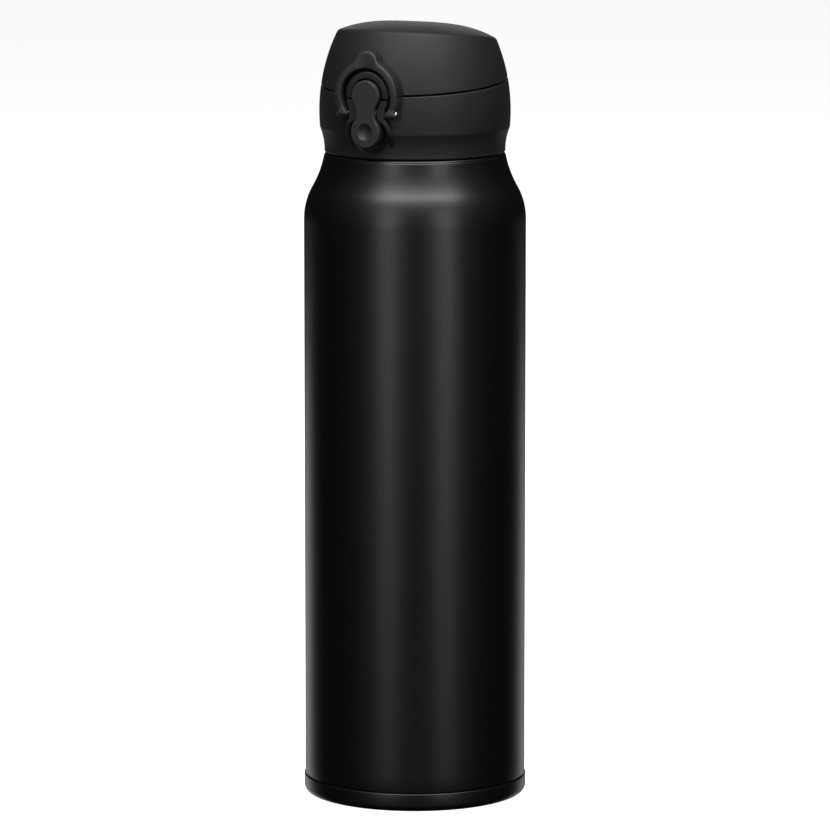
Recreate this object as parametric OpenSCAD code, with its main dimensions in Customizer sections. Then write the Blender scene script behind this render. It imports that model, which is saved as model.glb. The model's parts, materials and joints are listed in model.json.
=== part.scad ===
// Vacuum flask with a one-touch lid: a double-walled steel bottle, a screw-on cap unit
// with a drinking spout, a sprung lid on a rear hinge, a rocking push button and a lock ring.
// Millimetres, +Z up. The origin is the centre of the base, and the latch faces -Y.

/* [Bottle] */
// Outer radius of the straight steel body
body_r = 39; // [38:0.5:42]
// Height at which the shoulder starts to turn in
shoulder_z = 204.6; // [120:0.2:240]
// Radius of the rounded outer bend of the shoulder
shoulder_bulge_r = 23; // [22:0.5:24]
// Steepest lean of the shoulder, in degrees from upright
shoulder_lean = 29.7; // [29:0.1:31]
// Thickness of the outer steel wall
outer_wall = 0.6; // [0.5:0.1:0.8]
// Thickness of the inner steel wall
inner_wall = 0.5; // [0.4:0.1:0.6]
// Distance from the outer surface to the outside of the inner vessel
vacuum_offset = 3; // [2.5:0.1:3.4]

/* [Base] */
// Height of the base cap
base_h = 6.4; // [6:0.2:8]
// How far the base cap stands proud of the body
base_proud = 0.35; // [0.2:0.05:0.6]
// Radius of the base cap's bottom edge
base_edge_r = 2.3; // [1.5:0.1:2.6]

/* [Mouth] */
// Inside radius of the bottle's mouth
mouth_r = 20; // [19.8:0.1:20.2]
// Outside radius of the threaded neck
neck_r = 24; // [23.9:0.1:24.1]
// Rise of the thread for one turn
thread_pitch = 4; // [3.8:0.1:4]
// Number of turns of the thread
thread_turns = 1.5; // [1:0.25:1.5]

/* [Cap and lid] */
// Radius of the cap's lower edge, which meets the shoulder
cap_low_r = 31.7; // [31.4:0.1:32]
// Largest radius of the cap
cap_wide_r = 33.53; // [33.3:0.01:33.7]
// Radius of the upright curve that the cap and the lid share
cap_curve_r = 64; // [60:1:70]
// Tilt of the seam between the cap and the lid, in degrees, low at the front
seam_tilt = 4.57; // [3:0.1:5]
// Height of the open seam
seam_gap = 0.6; // [0.5:0.1:0.8]
// Tilt of the lid's top, in degrees, low at the back
top_tilt = 5; // [4:0.1:8]
// Height of the crown over the lid's rim
crown_h = 4.6; // [2:0.1:5]
// Wall thickness of the cap and the lid
shell_wall = 2.1; // [1.8:0.1:2.2]

/* [Latch] */
// Radius of the push button's upper end
button_head_r = 5.4; // [5.2:0.05:5.45]
// Radius of the push button's lower end
button_lobe_r = 5.6; // [5.3:0.05:5.7]
// Radius of the thumb dimple in the button
dimple_r = 2.95; // [2.5:0.05:3.2]
// Gap around the button
button_gap = 0.5; // [0.4:0.05:0.55]
// Outer radius of the lock ring
ring_out_r = 12.3; // [12:0.1:12.6]
// Inner radius of the lock ring
ring_in_r = 9.6; // [9.5:0.05:9.7]

/* [Hidden] */
$fn = 128;

// The cap unit's own heights below are counted up from the joint between shoulder and cap.
shoulder_h = 23.5;
joint_z = shoulder_z + shoulder_h;

// The shoulder is two arcs that meet at its steepest point: a rounded one and a hollow one,
// and the hollow one ends on the cap's lower edge.
lean_r = body_r - shoulder_bulge_r * (1 - cos(shoulder_lean));
lean_z = shoulder_z + shoulder_bulge_r * sin(shoulder_lean);
hollow_rise = joint_z - lean_z;
hollow_end = 2 * atan((lean_r - cap_low_r) / hollow_rise) - shoulder_lean;
hollow_r = hollow_rise / (sin(shoulder_lean) - sin(hollow_end));
hollow_x = lean_r + hollow_r * cos(shoulder_lean);
hollow_z = lean_z + hollow_r * sin(shoulder_lean);

foot_r = body_r - 0.7;       // the shell steps in here so that the base cap nearly follows it
neck_top = 15.1;             // top of the outer wall's neck
rim_t = 0.6;                 // thickness of the welded rim
thread_z = 3.9;              // where the neck's thread starts
thread_h = 1;                // height of the thread above its wall
thread_w = 2;                // width of the thread at its foot

cap_gap = 0.3;               // open joint between shoulder and cap
kink_z = 8.9;                // edge over the cap's recessed band
kink_dr = 0.26;              // how far the widest radius is over the kink's radius
band_z = 0.9;                // where the recessed band starts to lean out
wide_z = 14.6;               // height of the widest radius
deck_z = 18.4;               // underside of the cap's deck
deck_t = 2.5;
deck_bore_r = 15;            // opening in the deck for the spout
seam_z = 25;                 // seam height on the axis
rim_z = 41.2;                // height of the lid's rim plane on the axis
rim_r = 28;                  // radius at which the crown meets the rim plane
crown_power = 3.1;           // above 2, the crown is flat in the middle and falls at its edge

skirt_r = neck_r + 1.5;      // inside of the skirt that screws over the neck
skirt_wall = 2;
plug_r = mouth_r - 1;        // outside of the plug that reaches into the mouth
groove_r = plug_r - 0.8;
groove_z = 6;
groove_h = 3;
sleeve_r = deck_bore_r - 0.8;
spout_bore_r = 12.6;
spout_lip_r = 16.6;
spout_top = 32.9;

hinge_y = 32.4;              // hinge axis of the lid, along X
hinge_z = 27.1;
knuckle_r = 2.5;
hinge_clear_r = 3;           // space around the hinge for the other half's knuckles
hinge_half_w = 13.3;
hinge_pin_r = 0.9;
pin_seat = 0.02;             // radial gap where a pin is held
pin_play = 0.05;             // radial gap where a part turns on a pin
cap_knuckle = [9.5, 13];     // from and to along X, on each side
lid_knuckle = [5.2, 9.2];

pin_w = 34.3;                // the latch pin's distance in front of the axis
pin_z = 16.5;
pin_r = 1;
head_z = 22.6;
lobe_z = 10.1;
waist_blend_r = 5.3;
button_face_w = 36.5;
button_back_w = 32.6;
head_back_w = 33.3;
pocket_w = 31.9;             // floor of the button's pocket beside the pivot
spring_hole_r = 2.2;         // the button's hole for its spring, and the hole's end
spring_hole_w = 34;
press_w = 30.4;              // deeper floor behind the lobe, which leaves room for the press

collar_z = 22.5;
collar_out_r = 8.55;
collar_in_r = 6;
split_z = 21.5;              // gap between the lid's collar and the cap's housing
split_gap = 0.7;
housing_w = 35.3;
housing_low_z = 8.6;
housing_low_r = 9.3;
housing_blend_r = 2.4;
housing_end_z = 4;

ring_z = 22.4;
tab_z = 33.9;
tab_r = 4.3;
tab_blend_r = 4;
ring_back_w = 32.8;
ring_boss_r = 1.75;
ring_boss = [7.4, 10.9];     // the round ends of the ring's legs, from and to along X
skin_half_w = 8.9;           // inside this width the ring is a thin front plate over the lid's pad
latch_clip = hinge_y + 35.2; // radii about the lid's hinge: the lid's latch parts swing inside
ring_clip_in = latch_clip + 0.25;
ring_clip_out = ring_clip_in + 0.95;

// Points of an arc about [x, z], from angle a0 to a1.
function arc(x, z, r, a0, a1, n) =
  [for (i = [0 : n]) let (a = a0 + (a1 - a0) * i / n) [x + r * cos(a), z + r * sin(a)]];

// The shoulder's curve, moved inwards by d, from the body up to the height z_end.
function shoulder(d, z_end) =
  let (last = asin((hollow_z - z_end) / (hollow_r + d)))
  concat(
    arc(body_r - shoulder_bulge_r, shoulder_z, shoulder_bulge_r - d, 0, shoulder_lean, 12),
    [for (i = [1 : 12]) let (a = shoulder_lean + (last - shoulder_lean) * i / 12)
      [hollow_x - (hollow_r + d) * cos(a), hollow_z - (hollow_r + d) * sin(a)]]
  );

function reversed(list) = [for (i = [len(list) - 1 : -1 : 0]) list[i]];

// Angle on the shared upright curve, of radius r, at the height z.
function curve_angle(z, r) = asin((z - wide_z) / r);

// The shared upright curve, moved inwards by d, between two heights.
function side_curve(d, z0, z1) =
  let (r = cap_curve_r - d)
  arc(cap_wide_r - cap_curve_r, wide_z, r, curve_angle(z0, r), curve_angle(z1, r), 20);

// The recessed band under the kink: an arc that starts upright at band_z, moved inwards by d.
band_rise = kink_z - band_z;
band_lean = cap_wide_r - kink_dr - cap_low_r;
band_r = (band_rise * band_rise + band_lean * band_lean) / (2 * band_lean);
function band_curve(d, z0) =
  let (first = asin((z0 - band_z) / (band_r + d)), last = asin(band_rise / band_r))
  [for (i = [0 : 10]) let (a = first + (last - first) * i / 10)
    [cap_low_r + band_r - (band_r + d) * cos(a), band_z + (band_r + d) * sin(a)]];

// Places its children in the cap unit's heights.
module at_cap() {
  translate([0, 0, joint_z]) children();
}

// Extrudes an outline drawn in X and Z from w0 to w1 in front of the axis.
module frontwards(w0, w1) {
  rotate([90, 0, 0]) translate([0, 0, w0]) linear_extrude(w1 - w0) children();
}

// A rod along X, centred on X = 0, whose axis is at y and z.
module cross_rod(r, half, y, z) {
  translate([-half, y, z]) rotate([0, 90, 0]) cylinder(r = r, h = 2 * half);
}

// Two equal rods along X, from x0 to x1 on each side.
module rod_pair(r, x0, x1, y, z) {
  for (x = [x0, -x1]) translate([x, y, z]) rotate([0, 90, 0]) cylinder(r = r, h = x1 - x0);
}

// Outline of two discs, one above the other, joined by hollow arcs that touch both.
module waisted(z1, r1, z2, r2, blend) {
  span = z1 - z2;
  far1 = r1 + blend;
  far2 = r2 + blend;
  up = (span * span + far2 * far2 - far1 * far1) / (2 * span);
  out = sqrt(far2 * far2 - up * up);
  lean1 = atan2(z2 + up - z1, out);
  lean2 = atan2(up, out);
  right = concat(
    arc(0, z1, r1, 90, lean1, 16),
    arc(out, z2 + up, blend, 180 + lean1, 180 + lean2, 8),
    arc(0, z2, r2, lean2, -90, 20));
  last = len(right) - 1;
  polygon(concat(right, [for (i = [last - 1 : -1 : 1]) [-right[i][0], right[i][1]]]));
}

// A band that climbs round the Z axis. Its section is a list of [radius, height], and its
// height over the radius foot tapers in at both ends.
module helix_band(section, foot, pitch, turns, steps, taper) {
  n = steps * turns;
  m = len(section);
  points = [for (i = [0 : n]) for (p = section)
    let (a = 360 * turns * i / n,
         t = taper > 0 ? max(0.1, min(1, i / taper, (n - i) / taper)) : 1,
         r = foot + (p[0] - foot) * t)
    [r * cos(a), r * sin(a), p[1] + pitch * turns * i / n]];
  sides = [for (i = [0 : n - 1]) for (j = [0 : m - 1])
    let (a = i * m + j, b = i * m + (j + 1) % m)
    each [[a, a + m, b + m], [a, b + m, b]]];
  start = [[for (j = [0 : m - 1]) j]];
  finish = [[for (j = [m - 1 : -1 : 0]) n * m + j]];
  polyhedron(points, concat(sides, start, finish), convexity = 6);
}

// A coil spring round the Z axis, made of round wire.
module coil(mean_r, wire_r, pitch, turns) {
  helix_band([for (i = [0 : 5]) [mean_r + wire_r * cos(60 * i), wire_r * sin(60 * i)]],
    mean_r, pitch, turns, 16, 0);
}

// Space over or under the tilted seam, with half the open seam.
module seam_space(over) {
  translate([0, 0, seam_z]) rotate([seam_tilt, 0, 0])
    translate([-50, -50, over ? -seam_gap / 2 : -40]) cube([100, 100, 40 + seam_gap / 2]);
}

// Solid crown with a tilted top, lowered by d.
module crown(d) {
  edge_r = 46;
  steps = 23;
  translate([0, 0, rim_z - d]) rotate([-top_tilt, 0, 0])
    rotate_extrude() polygon(concat(
      [[0, -60], [edge_r, -60]],
      [for (i = [steps : -1 : 0]) let (r = edge_r * i / steps)
        [r, crown_h * (1 - pow(r / rim_r, crown_power))]]));
}

// Solid of the lid's outer shape, moved inwards by d, with no bottom cut.
module lid_solid(d) {
  intersection() {
    rotate_extrude() polygon(concat([[0, 18]], side_curve(d, 18, 49), [[0, 49]]));
    crown(d);
  }
}

// Outline of the lock ring with its thumb tab, shrunk all round by d.
module ring_outline(d) {
  waisted(tab_z, tab_r - d, ring_z, ring_out_r - d, tab_blend_r + d);
}

// Outline of the push button, grown all round by d.
module button_outline(d) {
  waisted(head_z, button_head_r + d, lobe_z, button_lobe_r + d, waist_blend_r - d);
}

// Part of the outer profile that the shell and its inner face share, moved inwards by d.
function shell_side(d) = concat([[foot_r - d, 2.9], [foot_r - d, 6], [body_r - d, base_h + 0.3]],
  shoulder(d, joint_z - d - (d > 0 ? 0 : 0.8)));

module outer_shell() color("#17181a") {
  edge = 0.8;
  rotate_extrude() polygon(concat(
    shell_side(0),
    arc(cap_low_r - edge, joint_z - edge, edge, 0, 90, 6),
    [[neck_r, joint_z], [neck_r, joint_z + neck_top],
     [neck_r - outer_wall, joint_z + neck_top], [neck_r - outer_wall, joint_z - outer_wall]],
    reversed(shell_side(outer_wall))));
  translate([0, 0, joint_z + thread_z]) helix_band(
    [[neck_r - 0.3, -thread_w / 2], [neck_r - 0.3, thread_w / 2],
     [neck_r + thread_h, thread_w / 4], [neck_r + thread_h, -thread_w / 4]],
    neck_r - 0.3, thread_pitch, thread_turns, 32, 4);
}

// Profile of the inner vessel's side, moved inwards by d from the body's outer surface.
function vessel_side(d) = concat(
  [[0, 8 + d - vacuum_offset]],
  arc(body_r - vacuum_offset - 8, 16, 8 - (d - vacuum_offset), -90, 0, 8),
  shoulder(d, joint_z - 4 - (d - vacuum_offset)),
  [[mouth_r + inner_wall - (d - vacuum_offset) + 3, joint_z - 4 - (d - vacuum_offset)],
   [mouth_r + inner_wall - (d - vacuum_offset), joint_z - 1 - (d - vacuum_offset)]]);

module inner_vessel() color("#b9bcc0") {
  rim_low = joint_z + neck_top;
  rotate_extrude() polygon(concat(
    vessel_side(vacuum_offset),
    [[mouth_r + inner_wall, rim_low], [neck_r, rim_low],
     [neck_r, rim_low + rim_t], [mouth_r, rim_low + rim_t]],
    reversed(vessel_side(vacuum_offset + inner_wall))));
}

module bottom_plate() color("#9a9da1") {
  difference() {
    translate([0, 0, 3.2]) cylinder(r = foot_r - outer_wall, h = 0.8);
    translate([0, 0, 3]) cylinder(r = 0.8, h = 2);
  }
}

module evacuation_seal() color("#c8b070") {
  translate([0, 0, 2.6]) cylinder(r = 2.2, h = 0.6);
  translate([0, 0, 3]) cylinder(r = 0.78, h = 1);
}

module getter() color("#6d6f73") {
  translate([0, 0, 6.2]) cylinder(r = 5, h = 1.8);
}

module radiation_foil() color("#b87333") {
  foil_r = body_r - vacuum_offset + 0.3;
  translate([0, 0, 22]) difference() {
    cylinder(r = foil_r + 0.15, h = shoulder_z - 26);
    translate([0, 0, -1]) cylinder(r = foil_r, h = shoulder_z - 20);
  }
}

module base_cap() color("#1b1c1e") {
  out_r = body_r + base_proud;
  in_r = foot_r + 0.15;
  rotate_extrude() polygon(concat(
    [[0, 1.2], [29, 1.2], [30, 0]],
    arc(out_r - base_edge_r, base_edge_r, base_edge_r, -90, 0, 8),
    [[out_r, base_h - 0.3], [out_r - 0.3, base_h], [in_r, base_h], [in_r, 2.5], [0, 2.5]]));
}

module stopper_gasket() color("#d9d9d6") at_cap() {
  lip = 0.1;
  rotate_extrude() polygon([
    [groove_r + lip, groove_z + lip], [mouth_r - 0.1, groove_z + 0.5],
    [mouth_r - 0.5, groove_z + groove_h / 2], [mouth_r - 0.1, groove_z + groove_h - 0.5],
    [groove_r + lip, groove_z + groove_h - lip]]);
}

// The cap's outer wall and its deck.
module cap_wall() {
  wall_top = 31;
  deck_top = deck_z + deck_t;
  rotate_extrude() polygon(concat(
    band_curve(0, cap_gap), side_curve(0, kink_z, wall_top),
    reversed(side_curve(shell_wall, deck_top, wall_top)),
    [[deck_bore_r, deck_top], [deck_bore_r, deck_z]],
    reversed(side_curve(shell_wall, kink_z + 1.3, deck_z)),
    reversed(band_curve(shell_wall, cap_gap))));
}

// Solid of the cap's outer shape, up to the height of the deck.
module cap_solid() {
  rotate_extrude() polygon(concat(
    [[0, cap_gap]], band_curve(0, cap_gap), side_curve(0, kink_z, deck_z + deck_t),
    [[0, deck_z + deck_t]]));
}

// The raised housing in front: its outline follows the button's, and it is open at the bottom.
module housing() {
  frontwards(28, housing_w) difference() {
    waisted(collar_z, collar_out_r, housing_low_z, housing_low_r, housing_blend_r);
    translate([-20, split_z - split_gap / 2]) square([40, 20]);
    translate([-20, housing_end_z - 20]) square([40, 20]);
  }
  intersection() {
    frontwards(skirt_r + skirt_wall + 0.3, 34) translate([-10.5, 3.2]) square([21, 17.7]);
    cap_solid();
  }
}

// Room for the button, for its press and for the lock ring's legs.
module latch_room() {
  frontwards(pocket_w, 40) button_outline(button_gap);
  frontwards(press_w, 40) {
    translate([0, lobe_z]) circle(button_lobe_r + button_gap);
    translate([0, lobe_z - 2.4]) circle(7.4);
    translate([-7.4, housing_end_z - 2]) square([14.8, lobe_z - 2.4 - housing_end_z + 2]);
  }
  rod_pair(ring_boss_r + 0.45, ring_boss[0] - 0.3, 14, -pin_w, pin_z);
  cross_rod(pin_r + pin_seat, 14, -pin_w, pin_z);
}

module cap_body() color("#232426") at_cap() difference() {
  union() {
    difference() {
      union() {
        cap_wall();
        housing();
      }
      seam_space(true);
      latch_room();
      hinge_room();
    }
    cap_knuckles();
  }
  cross_rod(hinge_pin_r + pin_seat, 14, hinge_y, hinge_z);
}

// The cap's two outer knuckles, with the webs that carry them.
module cap_knuckles() {
  rod_pair(knuckle_r, cap_knuckle[0], cap_knuckle[1], hinge_y, hinge_z);
  for (x = [cap_knuckle[0], -cap_knuckle[1]]) translate([x, hinge_y - 1.7, hinge_z - 5])
    cube([cap_knuckle[1] - cap_knuckle[0], 2.2, 5]);
}

// Space round the hinge axis, cut from both walls before the knuckles are added.
module hinge_room() {
  cross_rod(hinge_clear_r, hinge_half_w, hinge_y, hinge_z);
}

module stopper_core() color("#2a2b2d") at_cap() {
  flange_t = 1.9;
  rotate_extrude() polygon([
    [deck_bore_r, 4], [plug_r, 4], [plug_r, groove_z], [groove_r, groove_z],
    [groove_r, groove_z + groove_h], [plug_r, groove_z + groove_h],
    [plug_r, deck_z - flange_t], [skirt_r, deck_z - flange_t], [skirt_r, 1.4],
    [skirt_r + skirt_wall, 1.4], [skirt_r + skirt_wall, deck_z], [deck_bore_r, deck_z]]);
  translate([0, 0, thread_z + thread_pitch / 2]) helix_band(
    [[skirt_r + 0.3, thread_w / 2], [skirt_r + 0.3, -thread_w / 2],
     [skirt_r - thread_h, -thread_w / 4], [skirt_r - thread_h, thread_w / 4]],
    skirt_r + 0.3, thread_pitch, thread_turns, 32, 4);
}

module spout() color("#202123") at_cap() {
  seat = deck_z + deck_t;
  lip = (spout_lip_r - spout_bore_r - 1.6) / 2;
  rotate_extrude() polygon(concat(
    [[spout_bore_r, 9], [sleeve_r, 9], [sleeve_r, 11.5], [sleeve_r - 0.7, 11.5],
     [sleeve_r - 0.7, 13.5], [sleeve_r, 13.5], [sleeve_r, seat], [18.6, seat],
     [18.6, seat + 1.2], [spout_lip_r, seat + 2], [spout_lip_r, spout_top - lip]],
    arc(spout_lip_r - lip, spout_top - lip, lip, 0, 180, 10),
    [[spout_lip_r - 2 * lip, seat + 4], [spout_bore_r, seat]]));
}

module spout_gasket() color("#d9d9d6") at_cap() {
  rotate_extrude() polygon([
    [sleeve_r - 0.65, 11.6], [deck_bore_r - 0.05, 12], [deck_bore_r - 0.05, 13],
    [sleeve_r - 0.65, 13.4]]);
}

module hinge_pin() color("#c9ccd0") at_cap() {
  cross_rod(hinge_pin_r, 13, hinge_y, hinge_z);
}

module hinge_spring() color("#c9ccd0") at_cap() {
  translate([-4.4, hinge_y, hinge_z]) rotate([0, 90, 0]) coil(1.6, 0.35, 0.95, 9);
}

module latch_pin() color("#d5d7da") at_cap() {
  cross_rod(pin_r, 12, -pin_w, pin_z);
}

module button_spring() color("#c9ccd0") at_cap() {
  translate([0, -press_w - 0.3, lobe_z]) rotate([90, 0, 0]) coil(1.6, 0.25, 0.95, 3);
}

module push_button() color("#292a2c") at_cap() difference() {
  frontwards(button_back_w, button_face_w) button_outline(0);
  frontwards(button_back_w - 1, head_back_w) translate([-10, 21]) square([20, 20]);
  translate([0, -button_face_w - 2.7, lobe_z]) sphere(r = sqrt(dimple_r * dimple_r + 2.7 * 2.7));
  frontwards(button_back_w - 1, spring_hole_w) translate([0, lobe_z]) circle(spring_hole_r);
  cross_rod(pin_r + pin_play, 14, -pin_w, pin_z);
}

module lock_ring() color("#26272a") at_cap() difference() {
  union() {
    intersection() {
      frontwards(ring_back_w, 38) difference() {
        ring_outline(0);
        translate([0, ring_z]) circle(ring_in_r);
        translate([-20, pin_z - 40]) square([40, 40]);
      }
      cross_rod(ring_clip_out, 20, hinge_y, hinge_z);
    }
    rod_pair(ring_boss_r, ring_boss[0], ring_boss[1], -pin_w, pin_z);
  }
  intersection() {
    cross_rod(ring_clip_in, skin_half_w, hinge_y, hinge_z);
    translate([-20, -40, split_z - 0.6]) cube([40, 20, 30]);
  }
  cross_rod(pin_r + pin_play, 14, -pin_w, pin_z);
}

// The collar round the button's head and the pad that fills the space behind the lock ring,
// from w0 forwards.
module lid_latch(w0) intersection() {
  union() {
    frontwards(w0, 38) difference() {
      translate([0, collar_z]) circle(collar_out_r);
      translate([0, collar_z]) circle(collar_in_r);
      translate([-20, split_z + split_gap / 2 - 40]) square([40, 40]);
    }
    frontwards(w0, 38) intersection() {
      difference() {
        ring_outline(0.2);
        translate([0, ring_z]) circle(ring_in_r + 0.1);
      }
      translate([0.2 - skin_half_w, ring_z]) square([2 * skin_half_w - 0.4, 30]);
    }
  }
  cross_rod(latch_clip, 20, hinge_y, hinge_z);
}

module lid_shell() color("#2d2e30") at_cap() difference() {
  union() {
    difference() {
      union() {
        lid_solid(0);
        lid_latch(24);
      }
      lid_solid(shell_wall);
      seam_space(false);
      hinge_room();
    }
    lid_latch(cap_wide_r);
    rod_pair(knuckle_r, lid_knuckle[0], lid_knuckle[1], hinge_y, hinge_z);
    for (x = [lid_knuckle[0], -lid_knuckle[1]]) translate([x, hinge_y - 2, hinge_z])
      cube([lid_knuckle[1] - lid_knuckle[0], 2, 4]);
  }
  cross_rod(hinge_pin_r + pin_play, 14, hinge_y, hinge_z);
}

module lid_liner() color("#1d1e20") at_cap() {
  plate_z = spout_top + 1.2;
  rotate_extrude() polygon([
    [0, plate_z], [25, plate_z], [28, 29], [29.3, 29], [26.2, plate_z + 1.5], [0, plate_z + 1.5]]);
}

module lid_gasket() color("#d9d9d6") at_cap() {
  translate([0, 0, spout_top + 0.1]) difference() {
    cylinder(r = spout_lip_r + 1, h = 1.1);
    translate([0, 0, -1]) cylinder(r = spout_bore_r - 0.6, h = 4);
  }
}

outer_shell();
inner_vessel();
bottom_plate();
evacuation_seal();
getter();
radiation_foil();
base_cap();
stopper_gasket();
cap_body();
stopper_core();
spout();
spout_gasket();
hinge_pin();
hinge_spring();
latch_pin();
button_spring();
push_button();
lock_ring();
lid_shell();
lid_liner();
lid_gasket();
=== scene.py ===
import json
import math
from functools import partial

import bmesh
import bpy
import numpy as np
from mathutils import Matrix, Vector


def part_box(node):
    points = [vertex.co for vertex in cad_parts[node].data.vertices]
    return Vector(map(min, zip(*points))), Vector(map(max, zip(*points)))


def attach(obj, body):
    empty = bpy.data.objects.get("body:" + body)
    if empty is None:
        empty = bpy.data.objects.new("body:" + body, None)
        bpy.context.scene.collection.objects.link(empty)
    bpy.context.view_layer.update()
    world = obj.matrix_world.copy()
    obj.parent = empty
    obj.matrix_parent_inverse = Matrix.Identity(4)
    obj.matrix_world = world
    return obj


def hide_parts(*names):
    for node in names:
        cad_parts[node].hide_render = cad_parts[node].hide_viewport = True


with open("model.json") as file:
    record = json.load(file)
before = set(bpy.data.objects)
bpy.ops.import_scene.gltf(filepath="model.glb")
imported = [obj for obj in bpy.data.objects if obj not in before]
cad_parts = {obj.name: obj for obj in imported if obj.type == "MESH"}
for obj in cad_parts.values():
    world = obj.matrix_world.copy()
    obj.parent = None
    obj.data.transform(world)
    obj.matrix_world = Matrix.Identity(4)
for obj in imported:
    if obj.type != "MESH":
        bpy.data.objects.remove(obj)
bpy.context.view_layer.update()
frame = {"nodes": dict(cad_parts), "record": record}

# A slim vacuum flask: satin black painted steel, with a matte black cap unit, a flip-up lid,
# a push button and a lock ring. Sizes are in millimetres until a mesh is made.
MM = 0.001
record = frame["record"]


def node_box(node):
    """The node's lowest and highest corners, in millimetres."""
    low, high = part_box(node)
    return np.array(low) / MM, np.array(high) / MM


def joint_place(name):
    """The place of a joint's axis, in millimetres."""
    joint = next(j for j in record["behaviour"]["joints"] if j["name"] == name)
    return np.array(joint["pos_m"]) / MM


# ---------------------------------------------------------------- sizes taken from the frame
BODY_R = node_box("radiation_foil")[1][0] + 2.55   # the foil lies in the wall of the body
CAP_GAP = 0.3                                      # open joint between shoulder and cap
JOINT_Z = node_box("cap_body")[0][2] - CAP_GAP
HINGE_Y, HINGE_Z = joint_place("lid_hinge")[1], joint_place("lid_hinge")[2] - JOINT_Z
PIN_W, PIN_Z = -joint_place("ring_flip")[1], joint_place("ring_flip")[2] - JOINT_Z
BASE_H = node_box("base_cap")[1][2]
BASE_R = node_box("base_cap")[1][0]
NECK_TOP = node_box("inner_vessel")[1][2] - JOINT_Z

# ------------------------------------------------------------------------ sizes of the design
SHOULDER_H = 23.5        # from the shoulder's start to the cap joint
BULGE_R = 23.0           # rounded bend of the shoulder
SHOULDER_LEAN = math.radians(29.7)
CAP_LOW_R = 31.7
CAP_WIDE_R = 33.53
CAP_CURVE_R = 64.0
WIDE_Z = 14.6            # heights from here on are counted from the cap joint
BAND_Z, KINK_Z, KINK_DR = 0.9, 8.9, 0.26
DECK_Z, DECK_T, DECK_BORE_R = 18.4, 2.5, 15.0
SEAM_Z, SEAM_SLOPE, SEAM_GAP = 25.0, math.tan(math.radians(4.57)), 0.6
TOP_TILT = math.radians(5.0)
RIM_Z, RIM_R, CROWN_H, CROWN_POWER = 41.2, 28.0, 4.6, 3.1
SHELL_WALL = 2.1
LIP_T, LIP_DROP = 0.8, 1.2   # the seam's lip is thinner than the wall behind it
HEAD_Z, HEAD_R, LOBE_Z, LOBE_R, WAIST_BLEND = 22.6, 5.4, 10.1, 5.6, 5.3
DIMPLE_R, DIMPLE_DEPTH = 2.95, 1.3
BUTTON_FACE, BUTTON_BACK, HEAD_BACK, BUTTON_GAP = 36.5, 32.6, 33.3, 0.5
SPRING_HOLE_R, SPRING_HOLE_END = 2.2, 34.0
COLLAR_Z, COLLAR_OUT, COLLAR_IN = 22.5, 8.55, 6.0
SPLIT_Z, SPLIT_GAP = 21.5, 0.7
HOUSING_FACE, HOUSING_LOW_Z, HOUSING_LOW_R, HOUSING_BLEND = 35.3, 8.6, 9.3, 2.4
POCKET_FLOOR, PRESS_SLOPE = 31.9, math.sin(math.radians(8.0))
RING_Z, RING_OUT, RING_IN, RING_BACK = 22.4, 12.3, 9.6, 32.8
TAB_Z, TAB_R, TAB_BLEND = 33.9, 4.3, 4.0
RING_BOSS_R, RING_INNER_END, RING_OUTER_END = 1.75, 7.3, 11.6
PAD_START = math.radians(2)
LATCH_CLIP = HINGE_Y + 35.2      # the lid's latch parts swing inside this radius
RING_CLIP_IN, RING_CLIP_OUT = LATCH_CLIP + 0.25, LATCH_CLIP + 1.2
KNUCKLE_R, HINGE_CLEAR, HINGE_HALF = 2.5, 3.0, 13.3


# ------------------------------------------------------------------------------ mesh making
def grid_faces(rows, cols, wrap_rows, wrap_cols):
    """Quads of a grid of points, row by row, joined to the first row or column where it wraps."""
    i = np.arange(rows if wrap_rows else rows - 1)[:, None]
    j = np.arange(cols if wrap_cols else cols - 1)[None, :]
    i2, j2 = (i + 1) % rows, (j + 1) % cols
    quads = np.stack([i * cols + j, i * cols + j2, i2 * cols + j2, i2 * cols + j], axis=-1)
    return quads.reshape(-1, 4)


def volume_sign(points, quads):
    """Positive where the quads of a closed surface face outwards: six times its volume."""
    a, b, c, d = (points[quads[:, k]] for k in range(4))
    return float(np.sum(np.cross(a, b) * c) + np.sum(np.cross(a, c) * d))


def piece(name, sheets, material, body, nodes=(), sharp=40.0):
    """One mesh object from closed grids in millimetres. Each grid is turned to face outwards,
    its seams and poles are merged, and its edges sharper than the angle stay crisp."""
    points, faces, count = [], [], 0
    for grid, wrap_rows, wrap_cols in sheets:
        rows, cols = grid.shape[:2]
        flat = grid.reshape(-1, 3)
        quads = grid_faces(rows, cols, wrap_rows, wrap_cols)
        if volume_sign(flat, quads) < 0:
            quads = quads[:, ::-1]
        points.append(flat)
        faces.append(quads + count)
        count += len(flat)
    points, faces = np.concatenate(points) * MM, np.concatenate(faces)
    mesh = bpy.data.meshes.new(name)
    mesh.vertices.add(len(points))
    mesh.vertices.foreach_set("co", points.astype(np.float32).ravel())
    mesh.loops.add(faces.size)
    mesh.loops.foreach_set("vertex_index", faces.ravel().astype(np.int32))
    mesh.polygons.add(len(faces))
    mesh.polygons.foreach_set("loop_start", np.arange(0, faces.size, 4, dtype=np.int32))
    mesh.update(calc_edges=True)
    work = bmesh.new()
    work.from_mesh(mesh)
    bmesh.ops.remove_doubles(work, verts=work.verts, dist=0.002 * MM)
    bmesh.ops.dissolve_degenerate(work, edges=work.edges, dist=0.0005 * MM)
    work.to_mesh(mesh)
    work.free()
    mesh.shade_smooth()
    mesh.set_sharp_from_angle(angle=math.radians(sharp))
    mesh.materials.append(material)
    obj = bpy.data.objects.new(name, mesh)
    bpy.context.scene.collection.objects.link(obj)
    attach(obj, body)
    if nodes:
        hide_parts(*nodes)


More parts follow.
